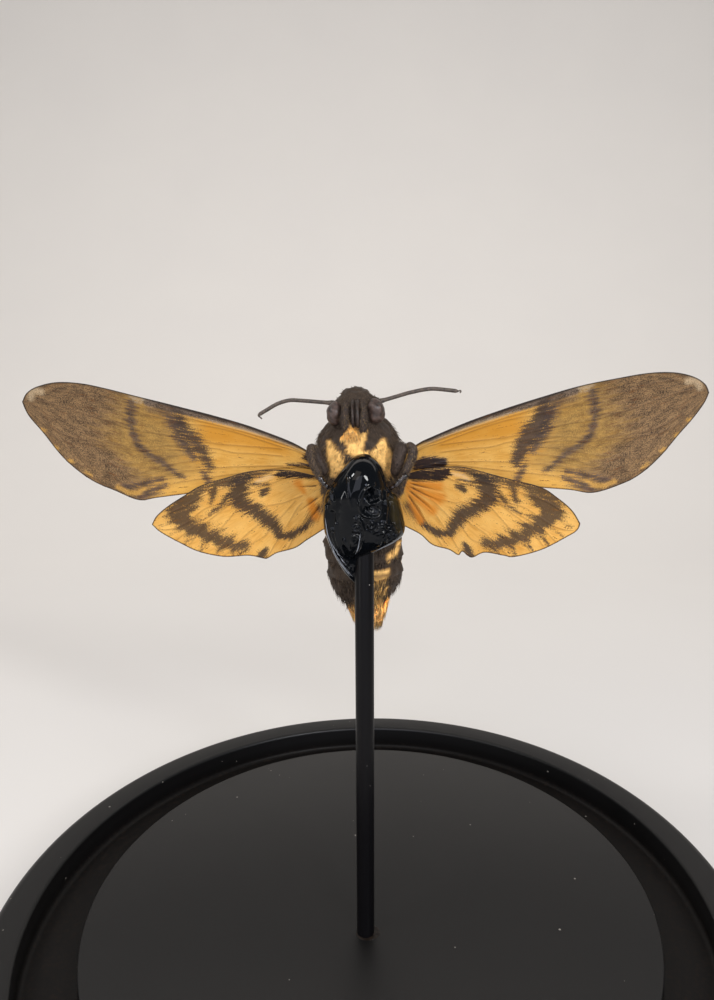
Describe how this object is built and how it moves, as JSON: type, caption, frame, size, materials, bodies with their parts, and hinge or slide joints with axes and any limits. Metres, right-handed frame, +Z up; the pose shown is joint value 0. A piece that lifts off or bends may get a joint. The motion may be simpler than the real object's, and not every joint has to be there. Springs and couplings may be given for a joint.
{
  "type": "mounted moth on display base",
  "caption": "Dried hawkmoth with spread wings, held by black glue on a thin rod standing in a round black base with a ring groove that seats a glass dome.",
  "frame": {"origin": "centre of the base's underside, on the surface that it stands on", "axes": "+Z up, along the rod; the moth's underside and the viewer are on the -Y side; +X to the viewer's right"},
  "size_m": [0.1346, 0.1346, 0.1134],
  "materials": {
    "black_paint": "satin black paint on turned wood",
    "black_rod": "satin black",
    "black_glue": "wet-looking gloss, set glue",
    "moth_fur": "matt hair and scales, dark brown and ochre",
    "moth_scale": "close scales, matt to silky",
    "moth_eye": "dull glassy, dried",
    "wing_membrane": "scaled membrane, ochre with dark brown bands"
  },
  "bodies": {
    "root": {"display_base": "black_paint", "support_rod": "black_rod", "glue_blob": "black_glue", "head": "moth_fur", "eye_left": "moth_eye", "eye_right": "moth_eye", "palp_left": "moth_scale", "palp_right": "moth_scale", "proboscis": "moth_scale", "thorax": "moth_fur", "abdomen": "moth_fur", "antenna_left": "moth_scale", "antenna_right": "moth_scale", "forewing_left": "wing_membrane", "forewing_right": "wing_membrane", "hindwing_left": "wing_membrane", "hindwing_right": "wing_membrane", "foreleg_left": "moth_scale", "foreleg_right": "moth_scale"}
  },
  "joints": []
}
